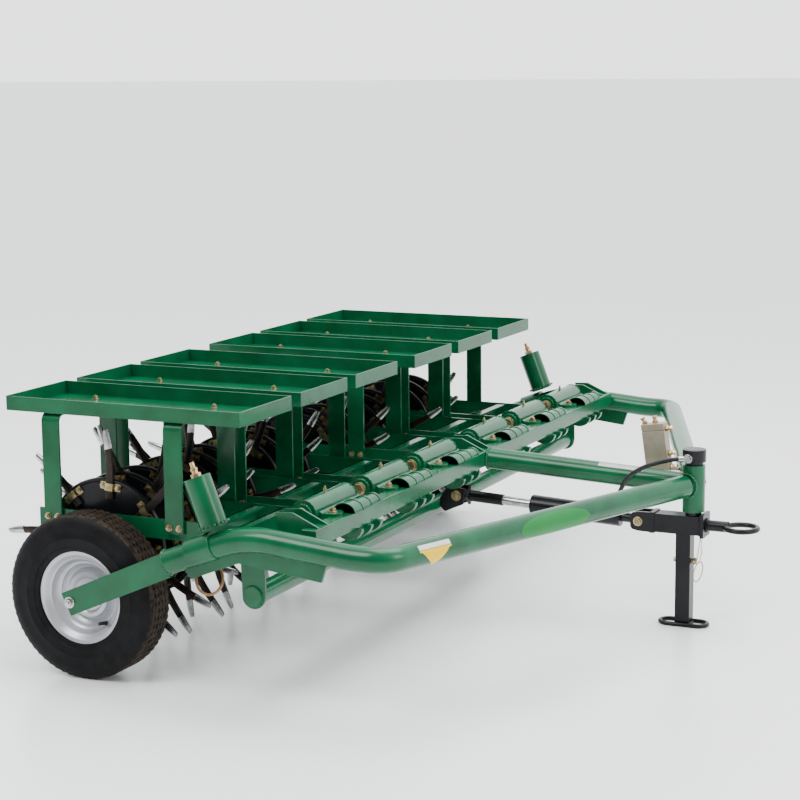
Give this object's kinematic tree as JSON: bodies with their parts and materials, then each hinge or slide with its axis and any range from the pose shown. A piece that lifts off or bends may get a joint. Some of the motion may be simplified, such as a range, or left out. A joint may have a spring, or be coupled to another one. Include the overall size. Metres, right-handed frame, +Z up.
{
  "type": "core aerator",
  "caption": "Towed lawn core aerator with hinged tine-drum modules under weight trays, a tubular A-frame on road wheels, and a drawbar with tow eye and jack.",
  "frame": {"origin": "on the floor under the middle of the machine's length and width", "axes": "+X towards the tow eye, +Y towards the machine's left side, +Z up"},
  "size_m": [1.7133, 2.2276, 0.674],
  "materials": {
    "green_paint": "gloss",
    "black_paint": "gloss",
    "zinc_plate": "satin",
    "silver_rim": "satin",
    "tyre_rubber": "matte",
    "hose_rubber": "satin",
    "bright_steel": "polished",
    "tan_block": "satin"
  },
  "bodies": {
    "frame": {"hinge_sleeve_1": "green_paint", "hinge_sleeve_2": "green_paint", "hinge_sleeve_3": "green_paint", "hinge_sleeve_4": "green_paint", "hinge_sleeve_5": "green_paint", "hinge_sleeve_6": "green_paint", "side_tube_right": "green_paint", "gusset_right": "green_paint", "hanger_right": "green_paint", "lift_post_right": "green_paint", "wheel_arm_right": "green_paint", "axle_right": "zinc_plate", "side_tube_left": "green_paint", "gusset_left": "green_paint", "hanger_left": "green_paint", "lift_post_left": "green_paint", "wheel_arm_left": "green_paint", "axle_left": "zinc_plate", "head_tube": "green_paint", "centre_tube": "green_paint", "front_bar": "green_paint", "lower_cross_tube": "green_paint", "strut_lug": "black_paint", "cylinder_cap": "black_paint", "flow_divider": "tan_block", "hose": "hose_rubber"},
    "module_1": {"weight_tray_1": "green_paint", "module_frame_1": "green_paint", "pivot_bolt_1": "zinc_plate"},
    "drum_1": {"tine_drum_1": "black_paint"},
    "module_2": {"weight_tray_2": "green_paint", "module_frame_2": "green_paint", "pivot_bolt_2": "zinc_plate"},
    "drum_2": {"tine_drum_2": "black_paint"},
    "module_3": {"weight_tray_3": "green_paint", "module_frame_3": "green_paint", "pivot_bolt_3": "zinc_plate"},
    "drum_3": {"tine_drum_3": "black_paint"},
    "module_4": {"weight_tray_4": "green_paint", "module_frame_4": "green_paint", "pivot_bolt_4": "zinc_plate"},
    "drum_4": {"tine_drum_4": "black_paint"},
    "module_5": {"weight_tray_5": "green_paint", "module_frame_5": "green_paint", "pivot_bolt_5": "zinc_plate"},
    "drum_5": {"tine_drum_5": "black_paint"},
    "module_6": {"weight_tray_6": "green_paint", "module_frame_6": "green_paint", "pivot_bolt_6": "zinc_plate"},
    "drum_6": {"tine_drum_6": "black_paint"},
    "wheel_right": {"wheel_rim_right": "silver_rim", "tyre_right": "tyre_rubber"},
    "wheel_left": {"wheel_rim_left": "silver_rim", "tyre_left": "tyre_rubber"},
    "drawbar": {"drawbar": "black_paint"},
    "jack": {"jack_leg": "black_paint", "jack_pin": "zinc_plate"},
    "strut_rod": {"strut_rod": "bright_steel"},
    "strut_barrel": {"strut_barrel": "black_paint"}
  },
  "joints": [
    {"name": "module_1_float", "type": "hinge", "parent": "frame", "child": "module_1", "pos_m": [0.003, -0.8145, 0.44], "axis": [0, 1, 0], "range_deg": [0, 8]},
    {"name": "drum_1_spin", "type": "hinge", "parent": "module_1", "child": "drum_1", "pos_m": [-0.564, -0.8145, 0.308], "axis": [0, 1, 0], "continuous": true},
    {"name": "module_2_float", "type": "hinge", "parent": "frame", "child": "module_2", "pos_m": [0.003, -0.502, 0.44], "axis": [0, 1, 0], "range_deg": [0, 8]},
    {"name": "drum_2_spin", "type": "hinge", "parent": "module_2", "child": "drum_2", "pos_m": [-0.564, -0.502, 0.308], "axis": [0, 1, 0], "continuous": true},
    {"name": "module_3_float", "type": "hinge", "parent": "frame", "child": "module_3", "pos_m": [0.003, -0.1895, 0.44], "axis": [0, 1, 0], "range_deg": [0, 8]},
    {"name": "drum_3_spin", "type": "hinge", "parent": "module_3", "child": "drum_3", "pos_m": [-0.564, -0.1895, 0.308], "axis": [0, 1, 0], "continuous": true},
    {"name": "module_4_float", "type": "hinge", "parent": "frame", "child": "module_4", "pos_m": [0.003, 0.1895, 0.44], "axis": [0, 1, 0], "range_deg": [0, 8]},
    {"name": "drum_4_spin", "type": "hinge", "parent": "module_4", "child": "drum_4", "pos_m": [-0.564, 0.1895, 0.308], "axis": [0, 1, 0], "continuous": true},
    {"name": "module_5_float", "type": "hinge", "parent": "frame", "child": "module_5", "pos_m": [0.003, 0.502, 0.44], "axis": [0, 1, 0], "range_deg": [0, 8]},
    {"name": "drum_5_spin", "type": "hinge", "parent": "module_5", "child": "drum_5", "pos_m": [-0.564, 0.502, 0.308], "axis": [0, 1, 0], "continuous": true},
    {"name": "module_6_float", "type": "hinge", "parent": "frame", "child": "module_6", "pos_m": [0.003, 0.8145, 0.44], "axis": [0, 1, 0], "range_deg": [0, 8]},
    {"name": "drum_6_spin", "type": "hinge", "parent": "module_6", "child": "drum_6", "pos_m": [-0.564, 0.8145, 0.308], "axis": [0, 1, 0], "continuous": true},
    {"name": "wheel_right_spin", "type": "hinge", "parent": "frame", "child": "wheel_right", "pos_m": [-0.555, -0.999, 0.205], "axis": [0, 1, 0], "continuous": true},
    {"name": "wheel_left_spin", "type": "hinge", "parent": "frame", "child": "wheel_left", "pos_m": [-0.555, 0.999, 0.205], "axis": [0, 1, 0], "continuous": true},
    {"name": "drawbar_lift", "type": "slide", "parent": "frame", "child": "drawbar", "axis": [0, 0, -1], "range_m": [0, 0.08]},
    {"name": "strut_swing", "type": "hinge", "parent": "frame", "child": "strut_rod", "pos_m": [0.008, 0, 0.301], "axis": [0, 1, 0], "range_deg": [0, 8.6]},
    {"name": "strut_extend", "type": "slide", "parent": "strut_rod", "child": "strut_barrel", "axis": [0.9989, 0, -0.0476], "range_m": [0, 0.0098]},
    {"name": "jack_drop", "type": "slide", "parent": "drawbar", "child": "jack", "axis": [0, 0, -1], "range_m": [0, 0.1]}
  ],
  "couplings": [
    {"joint": "strut_swing", "follows": "drawbar_lift", "rad_per_m": 1.872},
    {"joint": "strut_extend", "follows": "drawbar_lift", "ratio": 0.1222}
  ]
}
